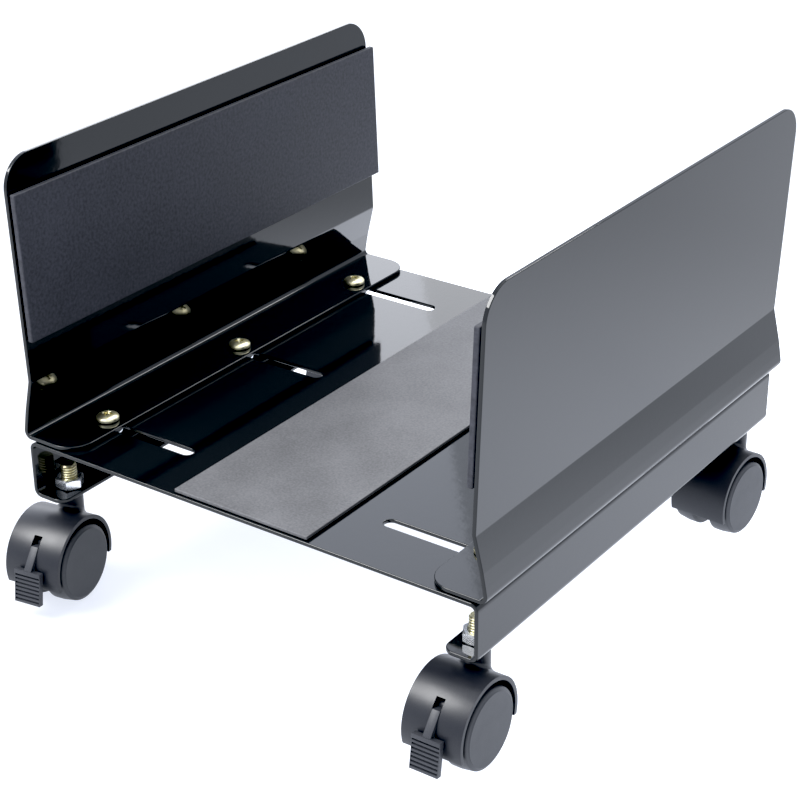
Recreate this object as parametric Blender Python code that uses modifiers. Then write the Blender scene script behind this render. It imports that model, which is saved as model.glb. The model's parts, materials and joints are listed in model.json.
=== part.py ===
"""Rolling stand for a desktop computer, in its own frame.

A folded steel deck stands on four twin-wheel swivel casters. Two steel side brackets lie on
the deck and slide in and out on three slots each, and three screws with flange nuts clamp
each of them. Foam pads line the brackets and the deck. The two front casters have brakes.

Metres, +Z up, floor at z = 0. -Y is the front, where the braked casters are. The origin is
on the floor under the middle of the stand's outline.
"""
import math

import bmesh
import bpy
from mathutils import Matrix, Vector

# Shared sizes
FIT_GAP = 0.0003            # space kept between pieces that touch
SHEET = 0.002               # steel sheet thickness
BEND_RADIUS = 0.002         # bend radius at the middle of the sheet
BEND_STEPS = 5              # straight pieces in each bend
CUTTER_MARGIN = 0.01        # how far a cutter runs past what it cuts

# Deck: a channel that opens downwards, with a lip turned in along each long side
DECK_TOP = 0.081
DECK_WIDTH = 0.260
DECK_DEPTH = 0.275
DECK_Y = 0.0117             # the deck's middle, behind the origin
FLANGE_HEIGHT = 0.030
LIP_WIDTH = 0.019
LIP_CORNER_RADIUS = 0.006

# Clamp slots, screws and nuts, M6
CLAMP_Y = (-0.102, 0.0, 0.102)
CLAMP_NAMES = ("front", "middle", "rear")
CLAMP_X = 0.1112            # screw position with the brackets fully out
SLOT_INNER_X = 0.0567
SLOT_OUTER_X = 0.116
SLOT_WIDTH = 0.0066
SCREW_RADIUS = 0.003
SCREW_LENGTH = 0.016
SCREW_HEAD_RADIUS = 0.00575
SCREW_HEAD_HEIGHT = 0.0038
SCREW_HEAD_EDGE = 0.0012
FLANGE_NUT_RADIUS = 0.0071
FLANGE_NUT_RIM = 0.0012
FLANGE_NUT_HEIGHT = 0.006
FLANGE_NUT_HEX_RADIUS = 0.00577

# Side bracket: corners of the middle of the sheet, as (distance from the middle, height over deck)
FOOT_INNER_X = 0.101
HEEL_X = 0.1343
WAIST = (0.1268, 0.0323)
BRACKET_TOP = (0.1310, 0.1433)
BRACKET_FRONT_Y = -0.1365
BRACKET_REAR_Y = 0.1415
BRACKET_CORNER_RADIUS = 0.016
FOOT_CORNER_RADIUS = 0.013
BRACKET_TRAVEL = 0.046

# Pads
SIDE_PAD_LOW = 0.0534       # height over the deck
SIDE_PAD_HIGH = 0.127
SIDE_PAD_FRONT_Y = -0.136
SIDE_PAD_REAR_Y = 0.143
SIDE_PAD_THICKNESS = 0.003
TAPE_THICKNESS = 0.0004
TAPE_INSET = 0.0012
CENTRE_PAD_WIDTH = 0.077
CENTRE_PAD_DEPTH = 0.272
CENTRE_PAD_THICKNESS = 0.0018

# Caster stem and its hardware, M8
CASTER_X = 0.1203
CASTER_Y = 0.1225
STEM_RADIUS = 0.004
STEM_TOP = 0.0655
STEM_PIN_RADIUS = 0.0028
STEM_PIN_BOTTOM = 0.027
STEM_CHAMFER = 0.0007
STEM_NUT_RADIUS = 0.00733
STEM_NUT_HEIGHT = 0.005
NECK_RADIUS = 0.006
WASHER_HEIGHT = 0.0012

# Caster wheels and hood, with the axle as the caster's own origin
WHEEL_RADIUS = 0.020
WHEEL_INNER_FACE = 0.0048
WHEEL_OUTER_FACE = 0.0163
WHEEL_RIM_WIDTH = 0.0020
WHEEL_EDGE = 0.0007
AXLE_RADIUS = 0.003
AXLE_HALF_LENGTH = 0.0134
TRAIL = 0.0138              # the axle's distance from the stem's axis
HOOD_RADIUS = 0.0232
HOOD_WALL = 0.002
HOOD_RISE = 0.001           # the hood's arc is centred this far over the axle
HOOD_HALF_WIDTH = 0.0152
HOOD_FRONT_ANGLE = math.radians(197.5)
HOOD_REAR_ANGLE = math.radians(-15)
WEB_HALF_WIDTH = 0.0044

# Brake lever: (y, z) corners from the axle, in the caster's own frame
LEVER_PIVOT = (-0.0120, 0.0135)
LEVER_EYE_RADIUS = 0.003
LEVER_PIN_RADIUS = 0.0012
LEVER_PIN_HALF_LENGTH = 0.0041
LEVER_ARM_WIDTH = 0.004
LEVER_ARM_TOP = (-0.0183, 0.0157)
LEVER_ARM_FRONT = (-0.0265, 0.0052)
LEVER_ARM_BACK = (-0.0238, 0.0034)
LEVER_TAB_WIDTH = 0.0146
LEVER_TAB = ((-0.0270, 0.0053), (-0.0295, -0.0117), (-0.0262, -0.0121), (-0.0238, 0.0048))
LEVER_SLOT_WIDTH = 0.0046
LEVER_SLOT_TOP = 0.019
LEVER_SLOT_BACK = -0.0082

# Each caster: name, side, end, swivel angle, brake
CASTERS = (
    ("front_left", -1, -1, math.radians(9), True),
    ("front_right", 1, -1, math.radians(1), True),
    ("rear_left", -1, 1, 0.0, False),
    ("rear_right", 1, 1, math.radians(-2.4), False),
)

ROUND_STEPS = 32            # sides of the wheels
PIN_STEPS = 16              # sides of pins, holes and screws
SIDE_VIEW = Matrix(((0, 0, 1, 0), (1, 0, 0, 0), (0, 1, 0, 0), (0, 0, 0, 1)))


def clear_scene():
    for old in list(bpy.data.objects):
        bpy.data.objects.remove(old, do_unlink=True)


def new_collection(name):
    collection = bpy.data.collections.new(name)
    bpy.context.scene.collection.children.link(collection)
    return collection


def new_material(name, colour, roughness, metallic=0.0):
    material = bpy.data.materials.new(name)
    material.use_nodes = True
    shader = material.node_tree.nodes["Principled BSDF"]
    shader.inputs["Base Color"].default_value = (*colour, 1.0)
    shader.inputs["Roughness"].default_value = roughness
    shader.inputs["Metallic"].default_value = metallic
    return material


def add_empty(name, location, turn=0.0, parent=None):
    empty = bpy.data.objects.new(name, None)
    empty.empty_display_size = 0.02
    empty.location = location
    empty.rotation_euler = (0.0, 0.0, turn)
    empty.parent = parent
    PARTS.objects.link(empty)
    return empty


def add_part(name, mesh, material, parent, location=(0, 0, 0), rotation=(0, 0, 0)):
    part = bpy.data.objects.new(name, mesh)
    if not mesh.materials:
        mesh.materials.append(material)
    part.location = location
    part.rotation_euler = rotation
    part.parent = parent
    PARTS.objects.link(part)
    return part


def add_cutter(name, mesh, parent=None):
    cutter = bpy.data.objects.new(name, mesh)
    cutter.parent = parent
    cutter.hide_render = True
    cutter.display_type = "WIRE"
    CUTTERS.objects.link(cutter)
    return cutter


def add_boolean(target, other, operation="DIFFERENCE"):
    boolean = target.modifiers.new(other.name, "BOOLEAN")
    boolean.operation = operation
    boolean.solver = "EXACT"
    boolean.object = other


def evaluated_mesh(source):
    """The welded mesh that an object evaluates to, for pieces that share one mesh."""
    graph = bpy.context.evaluated_depsgraph_get()
    mesh = bpy.data.meshes.new_from_object(source.evaluated_get(graph))
    work = bmesh.new()
    work.from_mesh(mesh)
    bmesh.ops.remove_doubles(work, verts=work.verts, dist=1e-6)
    work.to_mesh(mesh)
    work.free()
    return mesh


def combined_mesh(mesh, name, steps):
    """Apply (other mesh, operation) steps to a mesh and return the result."""
    base = add_cutter(name, mesh)
    others = [add_cutter(f"{name}_tool_{count}", other) for count, (other, _) in enumerate(steps)]
    for other, (_, operation) in zip(others, steps):
        add_boolean(base, other, operation)
    result = evaluated_mesh(base)
    for helper in [base] + others:
        bpy.data.objects.remove(helper, do_unlink=True)
    return result


def shade_round(mesh, angle=35):
    mesh.shade_smooth()
    mesh.set_sharp_from_angle(angle=math.radians(angle))
    return mesh


def outline_mesh(name, outlines, low, high, placing=Matrix()):
    """A filled flat outline, with holes where outlines nest, from low to high along its normal."""
    curve = bpy.data.curves.new(name, "CURVE")
    curve.dimensions = "2D"
    curve.fill_mode = "BOTH"
    curve.extrude = (high - low) / 2
    for outline in outlines:
        spline = curve.splines.new("POLY")
        spline.points.add(len(outline) - 1)
        for point, (x, y) in zip(spline.points, outline):
            point.co = (x, y, 0.0, 1.0)
        spline.use_cyclic_u = True
    flat = bpy.data.objects.new(name, curve)
    CUTTERS.objects.link(flat)
    mesh = evaluated_mesh(flat)
    bpy.data.objects.remove(flat, do_unlink=True)
    mesh.transform(placing @ Matrix.Translation((0, 0, (low + high) / 2)))
    return mesh


def turned_mesh(name, profile, steps):
    """Turn an (radius, height) profile, listed from top to bottom, about Z."""
    mesh = bpy.data.meshes.new(name)
    points = [(radius, 0.0, height) for radius, height in profile]
    edges = [(count, count + 1) for count in range(len(points) - 1)]
    mesh.from_pydata(points, edges, [])
    shape = bpy.data.objects.new(name, mesh)
    CUTTERS.objects.link(shape)
    screw = shape.modifiers.new("turn", "SCREW")
    screw.steps = steps
    screw.render_steps = steps
    screw.use_merge_vertices = True
    screw.merge_threshold = 0.00001
    result = shade_round(evaluated_mesh(shape))
    bpy.data.objects.remove(shape, do_unlink=True)
    return result


def cylinder_mesh(name, radius, start, end, steps=PIN_STEPS):
    start, end = Vector(start), Vector(end)
    along = end - start
    turn = Vector((0, 0, 1)).rotation_difference(along).to_matrix().to_4x4()
    work = bmesh.new()
    bmesh.ops.create_cone(work, cap_ends=True, segments=steps, radius1=radius, radius2=radius,
                          depth=along.length, matrix=Matrix.Translation((start + end) / 2) @ turn)
    mesh = bpy.data.meshes.new(name)
    work.to_mesh(mesh)
    work.free()
    return shade_round(mesh)


def box_mesh(name, low, high):
    low, high = Vector(low), Vector(high)
    work = bmesh.new()
    bmesh.ops.create_cube(work, size=1.0)
    bmesh.ops.scale(work, vec=high - low, verts=work.verts)
    bmesh.ops.translate(work, vec=(low + high) / 2, verts=work.verts)
    mesh = bpy.data.meshes.new(name)
    work.to_mesh(mesh)
    work.free()
    return mesh


def arc(centre, radius, start, end, steps):
    """Points on an arc from angle start to angle end."""
    angles = [start + (end - start) * count / steps for count in range(steps + 1)]
    return [(centre[0] + radius * math.cos(a), centre[1] + radius * math.sin(a)) for a in angles]


def circle(centre, radius, steps=PIN_STEPS):
    return arc(centre, radius, 0.0, math.tau, steps)[:-1]


def slot_outline(low_x, high_x, y, width, steps=8):
    """A round-ended slot along X."""
    radius = width / 2
    quarter = math.pi / 2
    right = arc((high_x - radius, y), radius, -quarter, quarter, steps)
    left = arc((low_x + radius, y), radius, quarter, 3 * quarter, steps)
    return right + left


def corner_outline(corner, inward, radius, steps=8):
    """What a round corner takes off: inward gives the signs of the directions into the sheet."""
    x, y = corner
    sign_x, sign_y = inward
    start = (x + sign_x * radius, y + sign_y * radius)
    angles = [math.pi / 2 * count / steps for count in range(steps + 1)]
    round_side = [(start[0] - sign_x * radius * math.sin(a), start[1] - sign_y * radius * math.cos(a))
                  for a in angles]
    far_x = x - sign_x * CUTTER_MARGIN
    far_y = y - sign_y * CUTTER_MARGIN
    return round_side + [(far_x, start[1]), (far_x, far_y), (start[0], far_y)]


def rounded_path(corners, radius):
    """Replace each inner corner of an open path by an arc."""
    path = [corners[0]]
    for before, corner, after in zip(corners, corners[1:], corners[2:]):
        before, corner, after = Vector(before), Vector(corner), Vector(after)
        to_start = (before - corner).normalized()
        to_end = (after - corner).normalized()
        half = to_start.angle(to_end) / 2
        centre = corner + (to_start + to_end).normalized() * (radius / math.sin(half))
        first = corner + to_start * (radius / math.tan(half)) - centre
        last = corner + to_end * (radius / math.tan(half)) - centre
        turn = first.angle_signed(last)
        for count in range(BEND_STEPS + 1):
            spoke = first.copy()
            spoke.rotate(Matrix.Rotation(-turn * count / BEND_STEPS, 2))
            path.append(tuple(centre + spoke))
    path.append(corners[-1])
    return path


def folded_sheet(name, corners, front, rear, material, parent):
    """A sheet folded along Y: corners are (x, z) points on the middle of its thickness."""
    path = rounded_path(corners, BEND_RADIUS)
    work = bmesh.new()
    front_edge = [work.verts.new((x, front, z)) for x, z in path]
    rear_edge = [work.verts.new((x, rear, z)) for x, z in path]
    for count in range(len(path) - 1):
        work.faces.new((front_edge[count], front_edge[count + 1],
                        rear_edge[count + 1], rear_edge[count]))
    mesh = bpy.data.meshes.new(name)
    work.to_mesh(mesh)
    work.free()
    sheet = add_part(name, mesh, material, parent)
    solidify = sheet.modifiers.new("sheet", "SOLIDIFY")
    solidify.thickness = SHEET
    solidify.offset = 0.0
    solidify.use_even_offset = True
    return sheet


def make_deck():
    half = DECK_WIDTH / 2
    side = half - SHEET / 2
    top = DECK_TOP - SHEET / 2
    bottom = DECK_TOP - FLANGE_HEIGHT + SHEET / 2
    lip = half - LIP_WIDTH
    corners = [(lip, bottom), (side, bottom), (side, top), (-side, top), (-side, bottom), (-lip, bottom)]
    deck = folded_sheet("base_tray", corners, -DECK_DEPTH / 2, DECK_DEPTH / 2, PAINTED_STEEL, STAND)
    slots = []
    for y in CLAMP_Y:
        slots.append(slot_outline(SLOT_INNER_X, SLOT_OUTER_X, y, SLOT_WIDTH))
        slots.append(slot_outline(-SLOT_OUTER_X, -SLOT_INNER_X, y, SLOT_WIDTH))
    slot_mesh = outline_mesh("clamp_slots", slots, DECK_TOP - CUTTER_MARGIN, DECK_TOP + CUTTER_MARGIN)
    add_boolean(deck, add_cutter("clamp_slots", slot_mesh, STAND))
    cuts = []
    for side_sign in (-1, 1):
        for end in (-1, 1):
            cuts.append(circle((side_sign * CASTER_X, end * CASTER_Y), STEM_RADIUS + FIT_GAP, 24))
            cuts.append(corner_outline((side_sign * lip, end * DECK_DEPTH / 2), (side_sign, -end),
                                       LIP_CORNER_RADIUS))
    lip_mesh = outline_mesh("lip_cuts", cuts, bottom - CUTTER_MARGIN, bottom + CUTTER_MARGIN)
    add_boolean(deck, add_cutter("lip_cuts", lip_mesh, STAND))


def plate_point(height):
    """Distance from the middle of the bracket's upper plate at a height over the deck."""
    slope = (BRACKET_TOP[0] - WAIST[0]) / (BRACKET_TOP[1] - WAIST[1])
    return WAIST[0] + slope * (height - WAIST[1])


def make_bracket(side_name, side):
    """One side bracket with its foam pad, tape, clamp screws and nuts."""
    slide = add_empty(f"{side_name}_slide", (0, 0, 0), parent=STAND)
    deck_face = DECK_TOP + FIT_GAP
    foot = deck_face + SHEET / 2
    corners = [(FOOT_INNER_X, foot), (HEEL_X, foot), (WAIST[0], DECK_TOP + WAIST[1]),
               (BRACKET_TOP[0], DECK_TOP + BRACKET_TOP[1])]
    corners = [(side * x, z) for x, z in corners]
    if side < 0:
        corners.reverse()
    bracket = folded_sheet(f"{side_name}_side_bracket", corners, BRACKET_FRONT_Y, BRACKET_REAR_Y,
                           PAINTED_STEEL, slide)
    ends = ((BRACKET_FRONT_Y, 1), (BRACKET_REAR_Y, -1))
    foot_cuts = [circle((side * CLAMP_X, y), SLOT_WIDTH / 2) for y in CLAMP_Y]
    foot_cuts += [corner_outline((side * FOOT_INNER_X, y), (side, into), FOOT_CORNER_RADIUS)
                  for y, into in ends]
    foot_mesh = outline_mesh("foot_cuts", foot_cuts, foot - CUTTER_MARGIN, foot + CUTTER_MARGIN)
    add_boolean(bracket, add_cutter(f"{side_name}_foot_cuts", foot_mesh, slide))
    top = DECK_TOP + BRACKET_TOP[1]
    top_cuts = [corner_outline((y, top), (into, -1), BRACKET_CORNER_RADIUS) for y, into in ends]
    reach = BRACKET_TOP[0] - CUTTER_MARGIN, BRACKET_TOP[0] + CUTTER_MARGIN
    low, high = (reach[0], reach[1]) if side > 0 else (-reach[1], -reach[0])
    top_mesh = outline_mesh("top_cuts", top_cuts, low, high, SIDE_VIEW)
    add_boolean(bracket, add_cutter(f"{side_name}_top_cuts", top_mesh, slide))
    make_side_pad(side_name, side, slide)
    for name, y in zip(CLAMP_NAMES, CLAMP_Y):
        head_seat = deck_face + SHEET + FIT_GAP
        add_part(f"{side_name}_{name}_clamp_screw", CLAMP_SCREW, YELLOW_ZINC, slide,
                 (side * CLAMP_X, y, head_seat))
        add_part(f"{side_name}_{name}_clamp_nut", FLANGE_NUT, BRIGHT_ZINC, slide,
                 (side * CLAMP_X, y, DECK_TOP - SHEET - FIT_GAP))


def make_side_pad(side_name, side, slide):
    """Foam pad and its tape, flat on the leaning inside of the bracket's plate."""
    middle = (SIDE_PAD_LOW + SIDE_PAD_HIGH) / 2
    half = (SIDE_PAD_HIGH - SIDE_PAD_LOW) / 2
    lean = math.atan2(BRACKET_TOP[0] - WAIST[0], BRACKET_TOP[1] - WAIST[1])
    centre = (side * plate_point(middle), (SIDE_PAD_FRONT_Y + SIDE_PAD_REAR_Y) / 2, DECK_TOP + middle)
    half_length = (SIDE_PAD_REAR_Y - SIDE_PAD_FRONT_Y) / 2
    layers = (("tape", TAPE_THICKNESS, TAPE_INSET, PAD_TAPE), ("pad", SIDE_PAD_THICKNESS, 0.0, SIDE_FOAM))
    face = SHEET / 2
    for layer, thickness, inset, material in layers:
        near, far = face + FIT_GAP, face + FIT_GAP + thickness
        across = sorted((-side * near, -side * far))
        low = (across[0], -half_length + inset, -half + inset)
        high = (across[1], half_length - inset, half - inset)
        name = f"{side_name}_side_{layer}"
        add_part(name, box_mesh(name, low, high), material, slide, centre, (0, side * lean, 0))
        face = far


def make_centre_pad():
    low = (-CENTRE_PAD_WIDTH / 2, -CENTRE_PAD_DEPTH / 2, DECK_TOP + FIT_GAP)
    high = (CENTRE_PAD_WIDTH / 2, CENTRE_PAD_DEPTH / 2, DECK_TOP + FIT_GAP + CENTRE_PAD_THICKNESS)
    add_part("centre_pad", box_mesh("centre_pad", low, high), CENTRE_FOAM, STAND)


def clamp_screw_mesh():
    """Pan-head screw, with the underside of its head at z = 0."""
    dome = [(SCREW_HEAD_RADIUS * math.sin(a), SCREW_HEAD_EDGE
             + (SCREW_HEAD_HEIGHT - SCREW_HEAD_EDGE) * math.cos(a))
            for a in [math.pi / 2 * count / 5 for count in range(6)]]
    shank = [(SCREW_HEAD_RADIUS, 0.0), (SCREW_RADIUS, 0.0), (SCREW_RADIUS, -SCREW_LENGTH),
             (0.0, -SCREW_LENGTH)]
    return turned_mesh("clamp_screw", dome + shank, PIN_STEPS)


def flange_nut_mesh():
    """Hexagonal nut under a round rim, with the rim's face at z = 0."""
    rim = cylinder_mesh("nut_rim", FLANGE_NUT_RADIUS, (0, 0, 0), (0, 0, -FLANGE_NUT_RIM), 24)
    hexagon = outline_mesh("nut_hexagon", [circle((0, 0), FLANGE_NUT_HEX_RADIUS, 6)],
                           -FLANGE_NUT_HEIGHT, -FLANGE_NUT_RIM / 2)
    bore = cylinder_mesh("nut_bore", SCREW_RADIUS + FIT_GAP, (0, 0, -2 * FLANGE_NUT_HEIGHT),
                         (0, 0, FLANGE_NUT_HEIGHT))
    return shade_round(combined_mesh(rim, "flange_nut", [(hexagon, "UNION"), (bore, "DIFFERENCE")]))


def stem_mesh():
    """Threaded stem with a thinner pin that the hood turns on, at its real height."""
    shoulder = DECK_TOP - FLANGE_HEIGHT - WASHER_HEIGHT - FIT_GAP
    profile = [(0.0, STEM_TOP), (STEM_RADIUS - STEM_CHAMFER, STEM_TOP),
               (STEM_RADIUS, STEM_TOP - STEM_CHAMFER), (STEM_RADIUS, shoulder),
               (STEM_PIN_RADIUS, shoulder), (STEM_PIN_RADIUS, STEM_PIN_BOTTOM),
               (0.0, STEM_PIN_BOTTOM)]
    return turned_mesh("stem", profile, PIN_STEPS)


def wheel_mesh():
    """One wheel, turned about Z, with its blind hub bore on the inner side."""
    face = WHEEL_OUTER_FACE - WHEEL_EDGE
    bore = AXLE_RADIUS + FIT_GAP
    bore_end = AXLE_HALF_LENGTH + FIT_GAP
    profile = [(0.0, WHEEL_OUTER_FACE), (WHEEL_RADIUS - WHEEL_RIM_WIDTH, WHEEL_OUTER_FACE),
               (WHEEL_RADIUS - WHEEL_EDGE, face), (WHEEL_RADIUS, face - WHEEL_EDGE),
               (WHEEL_RADIUS, WHEEL_INNER_FACE), (bore, WHEEL_INNER_FACE), (bore, bore_end),
               (0.0, bore_end)]
    return turned_mesh("wheel", profile, ROUND_STEPS)


def hood_mesh(braked):
    """Hood with its centre web and neck, around the axle: X along the axle, -Y the front."""
    centre = (0.0, HOOD_RISE)
    side_outline = arc(centre, HOOD_RADIUS, HOOD_FRONT_ANGLE, HOOD_REAR_ANGLE, 30)
    body = outline_mesh("hood", [side_outline], -HOOD_HALF_WIDTH, HOOD_HALF_WIDTH, SIDE_VIEW)
    neck_top = DECK_TOP - FLANGE_HEIGHT - WASHER_HEIGHT - 2 * FIT_GAP - WHEEL_RADIUS
    neck = cylinder_mesh("neck", NECK_RADIUS, (0, TRAIL, 0.010), (0, TRAIL, neck_top), 24)
    steps = [(neck, "UNION")]
    far = HOOD_HALF_WIDTH + CUTTER_MARGIN
    for side in (-1, 1):
        pocket = cylinder_mesh("pocket", HOOD_RADIUS - HOOD_WALL, (side * WEB_HALF_WIDTH, 0, HOOD_RISE),
                               (side * far, 0, HOOD_RISE), 40)
        steps.append((pocket, "DIFFERENCE"))
    stem_bore = cylinder_mesh("stem_bore", STEM_PIN_RADIUS + FIT_GAP,
                              (0, TRAIL, STEM_PIN_BOTTOM - FIT_GAP - WHEEL_RADIUS),
                              (0, TRAIL, neck_top + CUTTER_MARGIN))
    axle_bore = cylinder_mesh("axle_bore", AXLE_RADIUS + FIT_GAP, (-far, 0, 0), (far, 0, 0))
    steps += [(stem_bore, "DIFFERENCE"), (axle_bore, "DIFFERENCE")]
    if braked:
        slot = box_mesh("lever_slot", (-LEVER_SLOT_WIDTH / 2, -2 * HOOD_RADIUS, -HOOD_RADIUS),
                        (LEVER_SLOT_WIDTH / 2, LEVER_SLOT_BACK, LEVER_SLOT_TOP))
        pin_bore = cylinder_mesh("pin_bore", LEVER_PIN_RADIUS + FIT_GAP,
                                 (-WEB_HALF_WIDTH - FIT_GAP, *LEVER_PIVOT),
                                 (WEB_HALF_WIDTH + FIT_GAP, *LEVER_PIVOT), 12)
        steps += [(slot, "DIFFERENCE"), (pin_bore, "DIFFERENCE")]
    return shade_round(combined_mesh(body, "hood", steps))


def lever_mesh():
    """Brake lever around its pivot: an arm with an eye, and a wide foot tab."""
    def from_pivot(points):
        return [(y - LEVER_PIVOT[0], z - LEVER_PIVOT[1]) for y, z in points]
    eye = arc((0, 0), LEVER_EYE_RADIUS, math.radians(-110), math.radians(120), 12)
    arm = from_pivot([LEVER_ARM_TOP, LEVER_ARM_FRONT, LEVER_ARM_BACK]) + eye
    half_arm, half_tab = LEVER_ARM_WIDTH / 2, LEVER_TAB_WIDTH / 2
    body = outline_mesh("lever", [arm], -half_arm, half_arm, SIDE_VIEW)
    tab = outline_mesh("tab", [from_pivot(LEVER_TAB)], -half_tab, half_tab, SIDE_VIEW)
    bore = cylinder_mesh("lever_bore", LEVER_PIN_RADIUS + FIT_GAP, (-LEVER_TAB_WIDTH, 0, 0),
                         (LEVER_TAB_WIDTH, 0, 0), 12)
    return shade_round(combined_mesh(body, "lever", [(tab, "UNION"), (bore, "DIFFERENCE")]))


def make_caster(name, side, end, turn, braked):
    """One twin-wheel caster: fixed stem hardware, then the hood and wheels that swivel."""
    stem_at = (side * CASTER_X, end * CASTER_Y, 0.0)
    lip_low = DECK_TOP - FLANGE_HEIGHT
    nut_seat = (stem_at[0], stem_at[1], lip_low + SHEET + FIT_GAP)
    washer_seat = (stem_at[0], stem_at[1], lip_low - FIT_GAP)
    add_part(f"{name}_stem", STEM, YELLOW_ZINC, STAND, stem_at)
    add_part(f"{name}_stem_nut", STEM_NUT, BRIGHT_ZINC, STAND, nut_seat)
    add_part(f"{name}_swivel_washer", WASHER, NYLON, STAND, washer_seat)
    swivel = add_empty(f"{name}_swivel", stem_at, turn, STAND)
    axle_at = (0.0, -TRAIL, WHEEL_RADIUS)
    add_part(f"{name}_hood", BRAKED_HOOD if braked else PLAIN_HOOD, NYLON, swivel, axle_at)
    add_part(f"{name}_axle", AXLE, STEEL, swivel, axle_at)
    for wheel_side, tilt in (("left", -math.pi / 2), ("right", math.pi / 2)):
        add_part(f"{name}_wheel_{wheel_side}", WHEEL, WHEEL_PLASTIC, swivel, axle_at, (0, tilt, 0))
    if braked:
        pivot_at = (0.0, LEVER_PIVOT[0] - TRAIL, LEVER_PIVOT[1] + WHEEL_RADIUS)
        add_part(f"{name}_brake_lever", LEVER, LEVER_PLASTIC, swivel, pivot_at)
        add_part(f"{name}_lever_pin", LEVER_PIN, STEEL, swivel, pivot_at)


clear_scene()
PARTS = new_collection("cpu_holder")
CUTTERS = new_collection("cutters")

PAINTED_STEEL = new_material("painted_steel", (0.012, 0.013, 0.016), 0.12)
SIDE_FOAM = new_material("side_foam", (0.055, 0.058, 0.068), 0.8)
CENTRE_FOAM = new_material("centre_foam", (0.075, 0.078, 0.085), 0.7)
PAD_TAPE = new_material("pad_tape", (0.01, 0.01, 0.012), 0.8)
YELLOW_ZINC = new_material("yellow_zinc", (0.78, 0.70, 0.40), 0.3, 1.0)
BRIGHT_ZINC = new_material("bright_zinc", (0.72, 0.75, 0.80), 0.25, 1.0)
NYLON = new_material("black_nylon", (0.035, 0.037, 0.045), 0.45)
WHEEL_PLASTIC = new_material("wheel_plastic", (0.055, 0.058, 0.065), 0.5)
LEVER_PLASTIC = new_material("lever_plastic", (0.075, 0.078, 0.09), 0.5)
STEEL = new_material("plain_steel", (0.55, 0.56, 0.58), 0.35, 1.0)

STAND = add_empty("stand_origin", (0.0, DECK_Y, 0.0))

CLAMP_SCREW = clamp_screw_mesh()
FLANGE_NUT = flange_nut_mesh()
STEM = stem_mesh()
STEM_NUT = outline_mesh("stem_nut", [circle((0, 0), STEM_NUT_RADIUS, 6),
                                     circle((0, 0), STEM_RADIUS + FIT_GAP, 24)], 0.0, STEM_NUT_HEIGHT)
WASHER = outline_mesh("swivel_washer", [circle((0, 0), NECK_RADIUS, 24),
                                        circle((0, 0), STEM_RADIUS + FIT_GAP, 24)], -WASHER_HEIGHT, 0.0)
AXLE = cylinder_mesh("axle", AXLE_RADIUS, (-AXLE_HALF_LENGTH, 0, 0), (AXLE_HALF_LENGTH, 0, 0))
WHEEL = wheel_mesh()
BRAKED_HOOD = hood_mesh(braked=True)
PLAIN_HOOD = hood_mesh(braked=False)
LEVER = lever_mesh()
LEVER_PIN = cylinder_mesh("lever_pin", LEVER_PIN_RADIUS, (-LEVER_PIN_HALF_LENGTH, 0, 0),
                          (LEVER_PIN_HALF_LENGTH, 0, 0), 12)

make_deck()
make_centre_pad()
make_bracket("left", -1)
make_bracket("right", 1)
for caster in CASTERS:
    make_caster(*caster)
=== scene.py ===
"""Looks of the rolling computer stand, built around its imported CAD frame.

Every piece is modelled here in fine mesh and replaces its CAD node, or is the CAD node with a
better material. Metres, in the frame's own axes: +Z up, -Y the front, floor at z = 0.
"""
import json
import math

import bmesh
import bpy
from mathutils import Matrix, Vector


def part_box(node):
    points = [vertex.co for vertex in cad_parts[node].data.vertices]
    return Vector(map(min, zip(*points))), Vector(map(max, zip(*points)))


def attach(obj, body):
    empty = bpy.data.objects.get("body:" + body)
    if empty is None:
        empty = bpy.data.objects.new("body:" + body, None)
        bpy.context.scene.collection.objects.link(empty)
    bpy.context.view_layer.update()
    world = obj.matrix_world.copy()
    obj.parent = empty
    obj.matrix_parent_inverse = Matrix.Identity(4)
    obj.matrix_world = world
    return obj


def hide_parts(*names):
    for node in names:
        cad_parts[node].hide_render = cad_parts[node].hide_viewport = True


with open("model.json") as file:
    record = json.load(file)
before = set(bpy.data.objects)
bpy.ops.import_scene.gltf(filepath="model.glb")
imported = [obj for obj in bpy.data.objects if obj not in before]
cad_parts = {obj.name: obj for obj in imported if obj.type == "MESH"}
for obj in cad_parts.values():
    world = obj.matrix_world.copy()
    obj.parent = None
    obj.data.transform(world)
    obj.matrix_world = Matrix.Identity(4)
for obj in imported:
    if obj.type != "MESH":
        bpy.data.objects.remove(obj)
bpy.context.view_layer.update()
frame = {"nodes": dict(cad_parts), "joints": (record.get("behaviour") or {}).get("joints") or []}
JOINTS = {joint["name"]: joint for joint in frame["joints"]}

# Sheet metal
SHEET = 0.002
BEND_RADIUS = 0.0031  # at the middle of the sheet
BEND_STEPS = 14
EDGE_ROUNDING = 0.0006
EDGE_STEPS = 4
FIT_GAP = 0.0003
REACH = 0.01  # how far a cutting tool runs past what it cuts
WELD_DISTANCE = 1e-6
TURN_WELD_DISTANCE = 1e-5  # at the axis of a turned piece
SHARP_ANGLE = 30  # degrees, above which an edge is shaded sharp
BLEND_ANGLE = 38  # the same for pieces whose parts meet at a shallow angle

# Bracket profile: (distance from the middle, height over the deck) at the middle of the sheet
FOOT_INNER_X = 0.101
HEEL_X = 0.1333
HEEL_EASE = (0.1321, 0.0085)  # the slant over the heel eases towards upright below the knee
HEEL_KNEE = (0.1308, 0.0155)
EASE_RADIUS = 0.06
KNEE_RADIUS = 0.012
WAIST = (0.1268, 0.0323)
BRACKET_TOP = (0.1310, 0.1433)
BRACKET_CORNER_RADIUS = 0.016
FOOT_CORNER_RADIUS = 0.013
LIP_CORNER_RADIUS = 0.006
LIP_WIDTH = 0.019

# Foam pads
PAD_THICKNESS = 0.003
SIDE_PAD_ROUNDING = 0.0007
CENTRE_PAD_ROUNDING = 0.0004

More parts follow.
